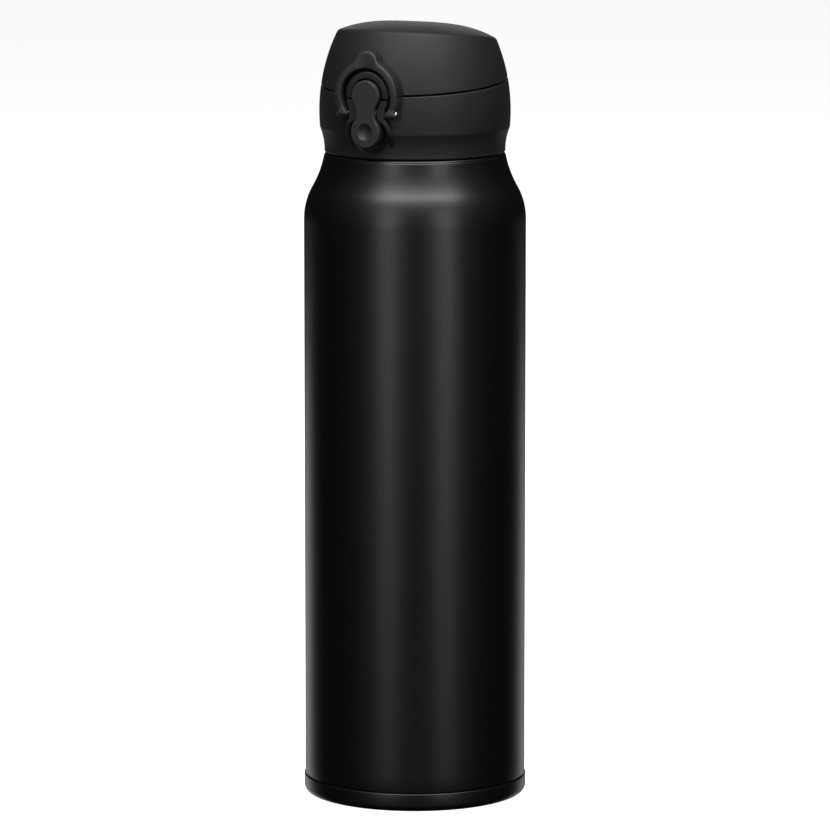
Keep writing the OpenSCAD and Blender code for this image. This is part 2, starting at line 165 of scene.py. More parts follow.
def rounded(corners, steps=6):
    """An outline through [x, z, radius] corners, each rounded by an arc that touches both of
    its sides. A radius of 0 keeps the corner. The ends of the list are kept as they are."""
    out = [np.array(corners[0][:2], float)]
    for before, here, after in zip(corners, corners[1:], corners[2:]):
        p, q, s = (np.array(v[:2], float) for v in (before, here, after))
        radius = here[2] if len(here) > 2 else 0.0
        if radius <= 0:
            out.append(q)
            continue
        u, v = (p - q) / np.linalg.norm(p - q), (s - q) / np.linalg.norm(s - q)
        half = math.acos(max(-1.0, min(1.0, float(u @ v)))) / 2
        reach = radius / math.tan(half)
        centre = q + (u + v) / np.linalg.norm(u + v) * radius / math.sin(half)
        a, b = q + u * reach - centre, q + v * reach - centre
        turn = math.atan2(a[0] * b[1] - a[1] * b[0], float(a @ b))
        for t in np.linspace(0, turn, steps + 1):
            c, d = math.cos(t), math.sin(t)
            out.append(centre + np.array([c * a[0] - d * a[1], d * a[0] + c * a[1]]))
    out.append(np.array(corners[-1][:2], float))
    return np.array(out)


def lathe(outline, turns=256):
    """Surface of revolution: each [radius, height] of the outline carried round the Z axis."""
    a = np.linspace(0, 2 * np.pi, turns, endpoint=False)[:, None]
    r, z = outline[:, 0][None], outline[:, 1][None]
    return np.stack([r * np.sin(a), -r * np.cos(a), z + 0 * a], axis=-1)


def lathe_sheet(corners, closed=True, turns=256, lift=0.0):
    """A lathed grid from corners. A closed outline is a ring, an open one starts and ends on
    the axis."""
    outline = rounded(corners) if not isinstance(corners, np.ndarray) else corners
    if closed and np.allclose(outline[0], outline[-1]):
        outline = outline[:-1]
    outline = outline + np.array([0.0, lift])
    return lathe(outline, turns), True, closed


def smooth(share):
    """A share from 0 to 1, eased at both ends: three squares less two cubes."""
    return share * share * (3 - 2 * share)


def closed_ends(grid):
    """The grid with its two end sections closed at their middles."""
    ends = [np.repeat(g.mean(axis=0)[None], grid.shape[1], axis=0)[None] for g in (grid[0], grid[-1])]
    return np.concatenate([ends[0], grid, ends[1]]), False, True


def cross_lathe(outline, y, z, turns=64):
    """Surface of revolution about a line along X through y and z: the outline is [radius, x]."""
    a = np.linspace(0, 2 * np.pi, turns, endpoint=False)[:, None]
    r, x = outline[:, 0][None], outline[:, 1][None]
    grid = np.stack([x + 0 * a, y + r * np.cos(a), z + r * np.sin(a)], axis=-1)
    return grid, True, False


# ------------------------------------------------------------------------------ material making
def linear(hex_colour):
    """An sRGB hex colour as linear RGBA."""
    parts = [int(hex_colour[i:i + 2], 16) / 255 for i in (1, 3, 5)]
    return [p / 12.92 if p <= 0.04045 else ((p + 0.055) / 1.055) ** 2.4 for p in parts] + [1.0]


def add(tree, kind, settings=None, links=None):
    """Adds a node, sets its attributes or inputs, and links its inputs to (node, output)."""
    node = tree.nodes.new(kind)
    for key, value in (settings or {}).items():
        if isinstance(key, str) and hasattr(node, key):
            setattr(node, key, value)
        else:
            node.inputs[key].default_value = value
    for key, (source, output) in (links or {}).items():
        tree.links.new(source.outputs[output], node.inputs[key])
    return node


def finish_material(name, base, spread, grain_mm, grain_height, rough, rough_swing,
                    metal=0.0, ior=1.5, streak=None, specular=0.5):
    """A moulded, painted or drawn surface. Its colour varies by spread between two shades over
    a few millimetres, its roughness swings a little, and a grain of grain_mm stands in relief.
    streak stretches the grain along X, Y and Z for a brushed or drawn finish."""
    material = bpy.data.materials.new(name)
    material.use_nodes = True
    tree = material.node_tree
    shader = tree.nodes["Principled BSDF"]
    place = add(tree, "ShaderNodeTexCoord")
    stretch = add(tree, "ShaderNodeMapping", {"Scale": streak or (1.0, 1.0, 1.0)},
                  {"Vector": (place, "Object")})
    grain = add(tree, "ShaderNodeTexNoise",
                {"Scale": 1 / (grain_mm * MM), "Detail": 3.0, "Roughness": 0.6},
                {"Vector": (stretch, "Vector")})
    cloud = add(tree, "ShaderNodeTexNoise", {"Scale": 1 / (9.0 * MM), "Detail": 2.0},
                {"Vector": (place, "Object")})
    shade = add(tree, "ShaderNodeMix", {"data_type": "RGBA"})
    shade.inputs["A"].default_value = linear(base)
    shade.inputs["B"].default_value = linear(spread)
    tree.links.new(cloud.outputs["Fac"], shade.inputs["Factor"])
    tree.links.new(shade.outputs["Result"], shader.inputs["Base Color"])
    swing = add(tree, "ShaderNodeMapRange",
                {"From Min": 0.3, "From Max": 0.7, "To Min": rough - rough_swing,
                 "To Max": rough + rough_swing}, {"Value": (grain, "Fac")})
    tree.links.new(swing.outputs["Result"], shader.inputs["Roughness"])
    relief = add(tree, "ShaderNodeBump", {"Strength": 1.0, "Distance": grain_height * MM},
                 {"Height": (grain, "Fac")})
    tree.links.new(relief.outputs["Normal"], shader.inputs["Normal"])
    shader.inputs["Metallic"].default_value = metal
    shader.inputs["IOR"].default_value = ior
    shader.inputs["Specular IOR Level"].default_value = specular
    return material


# Satin black baking paint over steel: a fine grit of about 0.3 mm breaks up its highlights.
BLACK_PAINT = finish_material("satin_black_baked_paint", "#070708", "#090a0a", 0.3, 0.006,
                              0.36, 0.05)
# Painted steel base, a little smoother than the body.
BASE_PAINT = finish_material("satin_black_base_paint", "#08080a", "#0b0b0c", 0.35, 0.005, 0.36, 0.04)
# Matte black polypropylene moulded against a spark-eroded tool: even texture of 0.3 mm.
CAP_PLASTIC = finish_material("matte_black_polypropylene", "#151516", "#19191a", 0.28, 0.008,
                              0.6, 0.05, specular=0.35)
# The button and ring come from a finer tool, so they are slightly smoother.
BUTTON_PLASTIC = finish_material("fine_matte_black_polypropylene", "#212122", "#262627", 0.22,
                                 0.006, 0.55, 0.04, specular=0.4)
# Smooth black polypropylene that touches the drink.
INNER_PLASTIC = finish_material("smooth_black_polypropylene", "#1a1a1b", "#1f1f20", 0.5, 0.003,
                                0.3, 0.04)
# Electropolished stainless steel, drawn along the bottle's axis.
BARE_STEEL = finish_material("electropolished_steel", "#b9bbbd", "#c6c8ca", 0.4, 0.003, 0.24, 0.06,
                             metal=1.0, streak=(1.0, 1.0, 0.08))
# Mill-finished sheet in the vacuum space.
MILL_STEEL = finish_material("mill_finished_steel", "#8d9093", "#9c9fa2", 0.6, 0.005, 0.4, 0.08,
                             metal=1.0)
# Ground and polished pin stock.
PIN_STEEL = finish_material("polished_pin_steel", "#d0d2d4", "#dcdedf", 0.5, 0.001, 0.12, 0.03,
                            metal=1.0, streak=(0.1, 1.0, 1.0))
# Drawn spring wire.
SPRING_STEEL = finish_material("drawn_spring_wire", "#9a9c9f", "#a8aaad", 0.3, 0.002, 0.28, 0.05,
                               metal=1.0)
# Bright rolled copper foil.
COPPER = finish_material("rolled_copper_foil", "#b8734d", "#c78259", 0.8, 0.01, 0.3, 0.08,
                         metal=1.0, streak=(1.0, 1.0, 0.2))
# Pale translucent silicone rubber, moulded smooth.
SILICONE = finish_material("pale_silicone_rubber", "#c9c8c2", "#d3d2cc", 0.7, 0.004, 0.45, 0.05,
                           ior=1.41)
# Sintered getter pill and the fused metal of the evacuation seal.
GETTER = finish_material("sintered_getter", "#56575a", "#65666a", 0.25, 0.02, 0.7, 0.1, metal=1.0)
SEAL_METAL = finish_material("fused_sealing_metal", "#a89a6c", "#b8aa7c", 0.6, 0.01, 0.35, 0.08,
                             metal=1.0)


# -------------------------------------------------------------------------------- bottle
def arc(x, z, r, a0, a1, n):
    """Points of an arc about x and z, from angle a0 to a1 in radians."""
    a = np.linspace(a0, a1, n)
    return np.stack([x + r * np.cos(a), z + r * np.sin(a)], axis=-1)


LEAN_R = BODY_R - BULGE_R * (1 - math.cos(SHOULDER_LEAN))
LEAN_Z = -SHOULDER_H + BULGE_R * math.sin(SHOULDER_LEAN)
HOLLOW_END = 2 * math.atan((LEAN_R - CAP_LOW_R) / -LEAN_Z) - SHOULDER_LEAN
HOLLOW_R = -LEAN_Z / (math.sin(SHOULDER_LEAN) - math.sin(HOLLOW_END))
HOLLOW_X = LEAN_R + HOLLOW_R * math.cos(SHOULDER_LEAN)
HOLLOW_Z = LEAN_Z + HOLLOW_R * math.sin(SHOULDER_LEAN)


def shoulder(inward, top, n=28):
    """The shoulder's curve moved inwards: a rounded arc up to its steepest lean, then a hollow
    arc that touches it there and ends at the height top."""
    last = math.asin((HOLLOW_Z - top) / (HOLLOW_R + inward))
    bulge = arc(BODY_R - BULGE_R, -SHOULDER_H, BULGE_R - inward, 0, SHOULDER_LEAN, n)
    hollow = arc(HOLLOW_X, HOLLOW_Z, HOLLOW_R + inward, math.pi + SHOULDER_LEAN, math.pi + last, n)
    return np.concatenate([bulge, hollow[1:]])


def bottle():
    """The painted wall, its threaded neck, the inner vessel and the base cap."""
    foot, wall, edge, neck = BODY_R - 0.7, 0.6, 0.9, 24.0
    low, ledge_r = -JOINT_Z, neck + 0.6
    outer = np.concatenate([
        [[foot, low + 2.9], [foot, low + BASE_H - 0.5]],
        arc(BODY_R - 0.35, low + BASE_H + 0.55, 0.35, -math.pi / 2, 0, 5),
        np.stack([np.full(24, BODY_R), np.linspace(low + 12, -SHOULDER_H - 4, 24)], axis=-1),
        shoulder(0, -edge - 0.15)])
    turn_in = arc(CAP_LOW_R - edge + 0.03, -edge, edge, 0, math.pi / 2, 9)
    inner = shoulder(wall, -wall - 0.9)[::-1]
    loop = np.concatenate([
        outer, turn_in, [[ledge_r, 0], [ledge_r, -wall]], inner,
        [[BODY_R - wall, low + BASE_H + 0.9], [foot - wall, low + BASE_H], [foot - wall, low + 2.9]]])
    piece("bottle_wall", [lathe_sheet(loop, lift=JOINT_Z, turns=320)], BLACK_PAINT, "bottle",
          ["outer_shell"], sharp=50)
    top = NECK_TOP - 0.6
    throat = [[ledge_r, -wall], [ledge_r, 0.02, 0.3], [neck, 0.5, 0.5], [neck, top],
              [neck - wall, top], [neck - wall, -wall, 0.4], [ledge_r, -wall]]
    neck_ring = lathe_sheet(throat, lift=JOINT_Z)
    piece("bottle_neck", [neck_ring, thread_sheet(neck - 0.3, 1.3, 3.9)], BARE_STEEL, "bottle",
          ["outer_shell"])
    vessel = []
    for inward, way in ((3.0, 1), (3.5, -1)):
        grow = inward - 3.0
        curve = np.concatenate([
            [[0.0, low + 8 + grow]],
            arc(BODY_R - 11, low + 16, 8 - grow, -math.pi / 2, 0, 14),
            shoulder(inward, -4 - grow),
            arc(23.5 - grow, -1 - grow, 3, -math.pi / 2, -math.pi, 10),
        ])
        vessel.append(curve[::way])
    rim = rounded([[20.5, 5], [20.5, top, 0.3], [neck + 0.01, top], [neck + 0.01, NECK_TOP, 0.28],
                   [20.0, NECK_TOP, 0.28], [20.0, 5]])
    loop = np.concatenate([vessel[0], rim, vessel[1]])
    piece("vessel_wall", [lathe_sheet(loop, closed=False, lift=JOINT_Z)], BARE_STEEL, "bottle",
          ["inner_vessel"])
    cup = [[0, 1.2], [29, 1.2, 0.4], [30, 0, 0.5], [BASE_R, 0, 2.3], [BASE_R, BASE_H, 0.35],
           [foot + 0.15, BASE_H, 0.1], [foot + 0.15, 2.5, 0.3], [0, 2.5]]
    piece("base_cup", [lathe_sheet(cup, closed=False, turns=320)], BASE_PAINT, "bottle",
          ["base_cap"])


def thread_sheet(foot, height, start, turns=1.5, pitch=4.0):
    """A thread that climbs round the Z axis: a trapezium section whose height over the foot
    swells from nothing at both ends. A negative height points inwards."""
    t = np.linspace(0, 1, int(turns * 96))
    swell = np.clip(np.minimum(t, 1 - t) * turns * 9, 0.02, 1)[:, None]
    section = np.array([[0, -1.0], [0, 1.0], [1, 0.5], [1, -0.5]])
    r = foot + height * section[None, :, 0] * swell
    z = JOINT_Z + start + pitch * turns * t[:, None] + section[None, :, 1]
    a = 2 * np.pi * turns * t[:, None]
    return closed_ends(np.stack([r * np.cos(a), r * np.sin(a), z], axis=-1))


# --------------------------------------------------------------------- cap and lid walls
def side_r(z, inward=0.0):
    """Radius of the upright curve that cap and lid share: one long arc about its widest point."""
    return CAP_WIDE_R - CAP_CURVE_R + np.sqrt((CAP_CURVE_R - inward) ** 2 - (z - WIDE_Z) ** 2)


BAND_LEAN = CAP_WIDE_R - KINK_DR - CAP_LOW_R
BAND_R = ((KINK_Z - BAND_Z) ** 2 + BAND_LEAN ** 2) / (2 * BAND_LEAN)


def band_r(z):
    """Radius of the recessed band: upright at its foot, then leaning out along one arc."""
    return CAP_LOW_R + BAND_R - np.sqrt(BAND_R ** 2 - (z - BAND_Z) ** 2)


def cap_r(z):
    """Outer radius of the cap: the band below the kink and the long arc above it, with the
    kink softened over about a millimetre."""
    low, high = band_r(np.minimum(z, KINK_Z + 1)), side_r(z)
    soft = 0.06
    return (low + high - np.sqrt((low - high) ** 2 + soft ** 2)) / 2


def azimuths():
    """Column angles round the wall: fine in front, where the latch is, and at the hinge."""
    latch, notch_start, notch_end = 27, 154.5, 157      # degrees from the front
    front = np.linspace(-latch, latch, 209)
    right = np.linspace(latch, notch_start, 86)[1:-1]
    right_notch = np.linspace(notch_start, notch_end, 14)
    back = np.linspace(notch_end, 360 - notch_end, 40)[1:-1]
    left_notch = np.linspace(360 - notch_end, 360 - notch_start, 14)
    left = np.linspace(360 - notch_start, 360 - latch, 86)[1:-1]
    return np.radians(np.concatenate([front, right, right_notch, back, left_notch, left]))


def ring_row(a, radius, height):
    """One row of a wall at the angles a. Its radius and height may change round the wall."""
    radius, height = radius + 0 * a, height + 0 * a
    return np.stack([radius * np.sin(a), -radius * np.cos(a), height], axis=-1)


def seam_middle(a, radius):
    """Height of the middle of the tilted seam, at the angles a of a wall of that radius."""
    return SEAM_Z + SEAM_SLOPE * (-radius * np.cos(a))


def disc(u, z, centre, r):
    """Distance outside a disc on the Z axis."""
    return np.hypot(u, z - centre) - r


def waist(z1, r1, z2, r2, blend):
    """Centre of the arc that touches two discs: its distance to the side and its height."""
    span, far1, far2 = z1 - z2, r1 + blend, r2 + blend
    up = (span ** 2 + far2 ** 2 - far1 ** 2) / (2 * span)
    return math.sqrt(far2 ** 2 - up ** 2), z2 + up


def waisted(u, z, z1, r1, z2, r2, blend):
    """Distance outside two discs that are joined by hollow arcs."""
    out, zc = waist(z1, r1, z2, r2, blend)
    px, pz = np.abs(u) - out, z - zc
    inside = ((-out * pz - (z1 - zc) * px) >= 0) & ((px * (z2 - zc) + pz * out) >= 0)
    return np.where(inside, blend - np.hypot(px, pz),
                    np.minimum(disc(u, z, z1, r1), disc(u, z, z2, r2)))


def waisted_line(z1, r1, z2, r2, blend, n=48):
    """Points round the outline of two discs joined by hollow arcs, from the top down the right
    side and up the left, with the outward normal of each."""
    out, zc = waist(z1, r1, z2, r2, blend)
    lean1, lean2 = math.atan2(zc - z1, out), math.atan2(zc - z2, out)
    rows = []
    for x, z, r, a0, a1, sign in ((0, z1, r1, math.pi / 2, lean1, 1),
                                  (out, zc, blend, math.pi + lean1, math.pi + lean2, -1),
                                  (0, z2, r2, lean2, -math.pi / 2, 1)):
        a = np.linspace(a0, a1, n)[:-1]
        rows.append(np.stack([x + r * np.cos(a), z + r * np.sin(a),
                              sign * np.cos(a), sign * np.sin(a)], axis=-1))
    right = np.concatenate(rows)
    foot = np.array([[0, z2 - r2, 0, -1.0]])
    left = right[1:][::-1] * np.array([-1, 1, -1, 1])
    line = np.concatenate([right, foot, left])
    return line[:, :2], line[:, 2:]


def clip_face(z, radius):
    """Distance in front of the axis of the cylinder round the lid's hinge."""
    return np.sqrt(radius ** 2 - (z - HINGE_Z) ** 2) - HINGE_Y


def pocket_floor(z):
    """Depth of the space behind the button: it follows the button's back when it is pressed."""
    return np.where(z < PIN_Z, POCKET_FLOOR + 0.3 - PRESS_SLOPE * (PIN_Z - z), POCKET_FLOOR)


def pocket_height(u, z, wall):
    """The cap's wall in front: it sinks to the pocket's floor behind the button, and rises
    again on a smooth slope towards the outline of the latch housing."""
    inner = waisted(u, z, HEAD_Z, HEAD_R + BUTTON_GAP, LOBE_Z, LOBE_R + BUTTON_GAP,
                    WAIST_BLEND - BUTTON_GAP)
    outer = waisted(u, z, COLLAR_Z, COLLAR_OUT - 0.5, LOBE_Z - 0.8, 7.9, HOUSING_BLEND)
    q = np.where(outer < 0, np.clip(inner / np.maximum(inner - outer, 0.01), 0, 1), 1.0)
    return np.minimum(wall, pocket_floor(z) + (wall - pocket_floor(z)) * smooth(q))


def notch_rows(a, radius, low, high):
    """low at the hinge's notch, high elsewhere, at the angles a of a wall of that radius."""
    return np.where((np.abs(radius * np.sin(a)) < HINGE_HALF) & (np.cos(a) < 0), low, high)


def cap_wall():
    """The cap's wall and deck as one closed grid: up the outside from the joint to the tilted
    seam, with the latch's relief pushed out in front, then down the inside."""
    a = azimuths()[:, None]
    seam_r, latch_half = 32.9, 14.9      # the wall at the seam, and half of the latch's relief
    foot_edge, edge = 0.5, 0.3
    seam = seam_middle(a, seam_r) - SEAM_GAP / 2
    top = notch_rows(a, seam_r, HINGE_Z - HINGE_CLEAR, seam)
    t = np.linspace(0, 1, 168)[None]
    z = CAP_GAP + foot_edge + (top - CAP_GAP - foot_edge - edge) * t
    r = cap_r(z)
    u, w = r * np.sin(a), r * np.cos(a)
    front = (w > 0) & (np.abs(u) < latch_half)
    w = np.where(front, pocket_height(u, z, np.where(front, w, 0)), w)
    outside = np.stack([u, -w, z], axis=-1)
    ring = partial(ring_row, a)
    rows = []
    for k in np.linspace(-90, 0, 6)[:-1]:
        s, c = math.sin(math.radians(k)), math.cos(math.radians(k))
        rows.append(ring(CAP_LOW_R + foot_edge * (c - 1), CAP_GAP + foot_edge * (1 + s)))
    rows.append(outside)
    top_u, top_y = outside[:, -1:, 0], outside[:, -1:, 1]
    top_r = np.where(np.abs(top_u) < latch_half, np.hypot(top_u, top_y), cap_r(top))
    for k in np.linspace(0, 90, 6)[1:]:
        s, c = math.sin(math.radians(k)), math.cos(math.radians(k))
        rows.append(ring(top_r - edge + edge * c, top - edge + edge * s))
    deck = DECK_Z + DECK_T
    rows.append(ring(top_r - LIP_T, top))
    rows.append(ring(np.minimum(top_r - LIP_T, side_r(top) - LIP_T), top - LIP_DROP))
    rows.append(ring(side_r(top) - SHELL_WALL, top - LIP_DROP))
    rows.append(ring(side_r(deck + 0.3) - SHELL_WALL, deck + 0.3))
    rows.append(ring(side_r(deck) - SHELL_WALL - 0.3, deck))
    for radius, height in ((24, deck), (18, deck), (DECK_BORE_R + 0.2, deck),
                           (DECK_BORE_R, deck - 0.2), (DECK_BORE_R, DECK_Z), (24, DECK_Z),
                           (29.0, DECK_Z), (30.6, DECK_Z - 0.3)):
        rows.append(ring(radius, height))
    for height in np.linspace(DECK_Z - 2, CAP_GAP + 0.2, 12):
        rows.append(ring(np.minimum(cap_r(height) - SHELL_WALL, 29.9), height))
    rows.append(ring(CAP_LOW_R - SHELL_WALL + 0.2, CAP_GAP))
    grid = np.concatenate(rows, axis=1) + np.array([0, 0, JOINT_Z])
    piece("cap_wall", [(grid, True, True)], CAP_PLASTIC, "cap", ["cap_body"])


def crown_height(r):
    """Height of the lid's crown over its rim plane: flat in the middle, falling at the edge."""
    return CROWN_H * (1 - (r / RIM_R) ** CROWN_POWER)


def crown_point(r, a, lower=0.0):
    """A point of the tilted crown, at a radius and an angle in its own tilted plane."""
    x, y, z = r * np.sin(a), -r * np.cos(a), crown_height(r) - lower
    c, s = math.cos(TOP_TILT), math.sin(TOP_TILT)
    return np.stack([x + 0 * z, y * c + z * s, RIM_Z - y * s + z * c], axis=-1)


def rim_radius(a, inward):
    """Where the crown meets the side wall, found by halving the gap between the two."""
    low, high = np.full_like(a, 20.0), np.full_like(a, 33.0)
    for _ in range(40):
        middle = (low + high) / 2
        p = crown_point(middle, a, inward)
        over = np.hypot(p[..., 0], p[..., 1]) > side_r(p[..., 2], inward)
        low, high = np.where(over, low, middle), np.where(over, middle, high)
    return (low + high) / 2


def lid_wall():
    """The lid as one closed grid: from the inner pole of the crown down the inside to the
    tilted seam, and up the outside over the rounded rim to the crown's outer pole."""
    a = azimuths()[:, None]
    rim = rim_radius(a, 0.0)
    edge_point = crown_point(rim, a)
    around = np.arctan2(edge_point[..., 0], -edge_point[..., 1])
    rim_z = edge_point[..., 2]
    seam_r, notch_r = 32.6, 32.5         # the wall at the seam and at the hinge's notch
    soft, edge = 0.85, 0.25
    seam = seam_middle(around, seam_r) + SEAM_GAP / 2
    low = notch_rows(around, notch_r, HINGE_Z + HINGE_CLEAR, seam)
    t = np.linspace(0, 1, 128)[None]
    z = low + edge + (rim_z - soft - low - edge) * t
    outside = np.stack([side_r(z) * np.sin(around), -side_r(z) * np.cos(around), z], axis=-1)
    ring = partial(ring_row, around)
    start, corner = outside[:, -1:], edge_point
    stop = crown_point(rim - soft, a)
    bend = []
    for k in np.linspace(0, 1, 11)[1:]:
        bend.append(start * (1 - k) ** 2 + corner * 2 * k * (1 - k) + stop * k ** 2)
    crown = [crown_point((rim - soft) * k, a) for k in np.linspace(1, 0, 25)[1:]]
    inner_rim = rim_radius(a, SHELL_WALL)
    inner_edge = crown_point(inner_rim, a, SHELL_WALL)
    inside = [crown_point(inner_rim * k, a, SHELL_WALL) for k in np.linspace(0, 0.985, 12)]
    inner_z = inner_edge[..., 2] - 0.5
    for k in np.linspace(0, 1, 14):
        height = inner_z * (1 - k) + (low + 0.15) * k
        inside.append(ring(side_r(height, SHELL_WALL), height))
    under = [ring(side_r(low) - SHELL_WALL + 0.15, low), ring(side_r(low) - edge, low),
             ring(side_r(low) - edge * 0.3, low + edge * 0.3)]
    grid = np.concatenate([*inside, *under, outside, *bend, *crown], axis=1)
    grid = grid + np.array([0, 0, JOINT_Z])
    piece("lid_wall", [(grid, True, False)], CAP_PLASTIC, "lid", ["lid_shell"])


# --------------------------------------------------------------------------- latch pieces
MIRROR = np.array([-1.0, 1.0])           # turns [u, z] over to the other side


def placed(flat, w):
    """Points [u, z] of the front view, placed at the depth w in front of the flask's axis."""
    return np.stack([flat[:, 0], -w, flat[:, 1] + JOINT_Z], axis=-1)


def swept(points, front, back, out_r, in_r, back_r, steps=7, back_out=None):
    """A rounded section carried along two lines. points is [inner line, outer line], each a
    list of [u, z]. Every section runs between the two, from back to front, with its front
    edges rounded by out_r and in_r and its back edges by back_r. back_out is the depth of the
    back at the outer line, where it isn't the same as at the inner one."""
    inner, outer = points
    n = len(inner)
    front, back = np.broadcast_to(front, n), np.broadcast_to(back, n)
    across = outer - inner
    width = np.linalg.norm(across, axis=1)
    back_out = back if back_out is None else back_out
    depth = front - back
    quarter = np.linspace(0, math.pi / 2, steps)
    columns = []
    for edge, at_outer, at_front in ((in_r, False, True), (out_r, True, True),
                                     (back_r, True, False), (back_r, False, False)):
        along, deep = np.minimum(edge, 0.49 * width), np.minimum(edge, 0.7 * depth)
        for t in quarter if at_outer != at_front else math.pi / 2 - quarter:
            inset, sink = along * (1 - math.cos(t)), deep * (1 - math.sin(t))
            share = 1 - inset / width if at_outer else inset / width
            flat = inner + across * share[:, None]
            w = front - sink if at_front else back + (back_out - back) * share + sink
            columns.append(placed(flat, w))
    return np.stack(columns, axis=1)


def collar():
    """The lid's collar round the button's head. Its two ends stand just over the split."""
    cut = SPLIT_Z + SPLIT_GAP / 2
    lines = []
    for r in (COLLAR_IN, COLLAR_OUT):
        stop = math.asin((cut - COLLAR_Z) / r)
        b = np.linspace(stop, math.pi - stop, 121)
        lines.append(np.stack([r * np.cos(b), COLLAR_Z + r * np.sin(b)], axis=-1))
    seam_under = SEAM_Z - SEAM_SLOPE * 33 + SEAM_GAP / 2
    back = np.where(lines[1][:, 1] < seam_under + 1.0, CAP_WIDE_R, 31.6)
    front = clip_face(lines[1][:, 1], LATCH_CLIP)
    grid = swept(lines, front, back, 0.95, 0.4, 0.1)
    piece("lid_collar", [closed_ends(grid)], CAP_PLASTIC, "lid", ["lid_shell"])


def half_line(z1, r1, z2, r2, blend, top):
    """The right half of two discs joined by a hollow arc, from the height top to the foot, and
    each point's angle on the lower disc, or the angle where that disc begins."""
    out, zc = waist(z1, r1, z2, r2, blend)
    lean1, lean2 = math.atan2(zc - z1, out), math.atan2(zc - z2, out)
    start = math.asin((top - z1) / r1)
    upper, hollow, lower = 12, 36, 72    # points on each arc
    rows, turn = [], []
    for x, z, r, a0, a1, n in ((0, z1, r1, start, lean1, upper),
                               (out, zc, blend, math.pi + lean1, math.pi + lean2, hollow),
                               (0, z2, r2, lean2, -math.pi / 2, lower)):
        a = np.linspace(a0, a1, n)
        rows.append(np.stack([x + r * np.cos(a), z + r * np.sin(a)], axis=-1))
        turn.append(a if x == 0 and z == z2 else np.full(n, lean2))
    keep = np.ones(upper + hollow + lower, bool)
    keep[[upper, upper + hollow]] = False      # an arc starts where the one before it ends
    return np.concatenate(rows)[keep], np.concatenate(turn)[keep]


def housing():
    """The latch housing on the cap: two arms that carry on from the collar, and a bowl below
    them whose rim sinks into the wall towards its foot."""
    top = SPLIT_Z - SPLIT_GAP / 2
    outer, turn = half_line(COLLAR_Z, COLLAR_OUT, HOUSING_LOW_Z, HOUSING_LOW_R, HOUSING_BLEND, top)
    inner, _ = half_line(HEAD_Z, HEAD_R + BUTTON_GAP, LOBE_Z, LOBE_R + BUTTON_GAP,
                         WAIST_BLEND - BUTTON_GAP, top)
    outer = np.concatenate([outer, (outer * MIRROR)[-2::-1]])
    inner = np.concatenate([inner, (inner * MIRROR)[-2::-1]])
    turn = np.concatenate([turn, turn[-2::-1]])
    swell, swell_h, play, open_out = 0.6, 2.0, 0.15, 3.0     # of the arms, beside the ring's legs
    near_pin = np.abs(outer[:, 1] - PIN_Z)
    wide = np.abs(outer[:, 0]) + swell * np.exp(-(near_pin / swell_h) ** 2)
    clear = RING_INNER_END - play + open_out * np.maximum(near_pin - RING_BOSS_R - play, 0)
    outer[:, 0] = np.sign(outer[:, 0]) * np.minimum(wide, clear)
    wall = np.sqrt(cap_r(np.maximum(outer[:, 1], CAP_GAP)) ** 2 - outer[:, 0] ** 2)
    sink_start, sink_turn = math.radians(36), math.radians(98)
    bowl_top, bowl_h = 14.0, 5.0
    sink = smooth(np.clip((sink_start - turn) / sink_turn, 0, 1))
    rim = HOUSING_FACE * (1 - sink) + (wall - 1.0) * sink
    bowl = smooth(np.clip((bowl_top - inner[:, 1]) / bowl_h, 0, 1))
    slim = np.clip((near_pin - 1.2) / 1.5, 0, 1)
    outside_edge, inside_edge = 0.6 + 0.5 * slim + 0.4 * bowl, 0.25
    floor = pocket_floor(inner[:, 1]) - 0.6
    across = inner - outer
    width = np.linalg.norm(across, axis=1)
    columns = []

    def column(share, w):
        """One column of the grid at a share of the way in and at the depth w."""
        columns.append(placed(outer + across * np.reshape(share, (-1, 1)), w))

    root = np.minimum(wall - 0.8, rim - 1.4)
    column(0 * width, root)
    for t in np.linspace(0, math.pi / 2, 9):
        column(outside_edge * (1 - math.cos(t)) / width,
               rim - outside_edge * (1 - math.sin(t)))
    first = outside_edge / width
    last = 1 - inside_edge / width
    for k in np.linspace(0, 1, 16)[1:]:
        slope = rim - (rim - floor) * k ** 2
        column(first + (last - first) * k, rim * (1 - bowl) + slope * bowl)
    inner_rim = -columns[-1][:, 1]
    for t in np.linspace(0, math.pi / 2, 5)[1:]:
        column(last + (1 - last) * math.sin(t), inner_rim - inside_edge * (1 - math.cos(t)))
    column(np.ones_like(width), np.minimum(floor, inner_rim - inside_edge - 0.1))
    column(0.5 * np.ones_like(width), np.minimum(floor, root) - 0.1)
    grid = np.stack(columns, axis=1)
    piece("latch_housing", [closed_ends(grid)], CAP_PLASTIC, "cap", ["cap_body"])


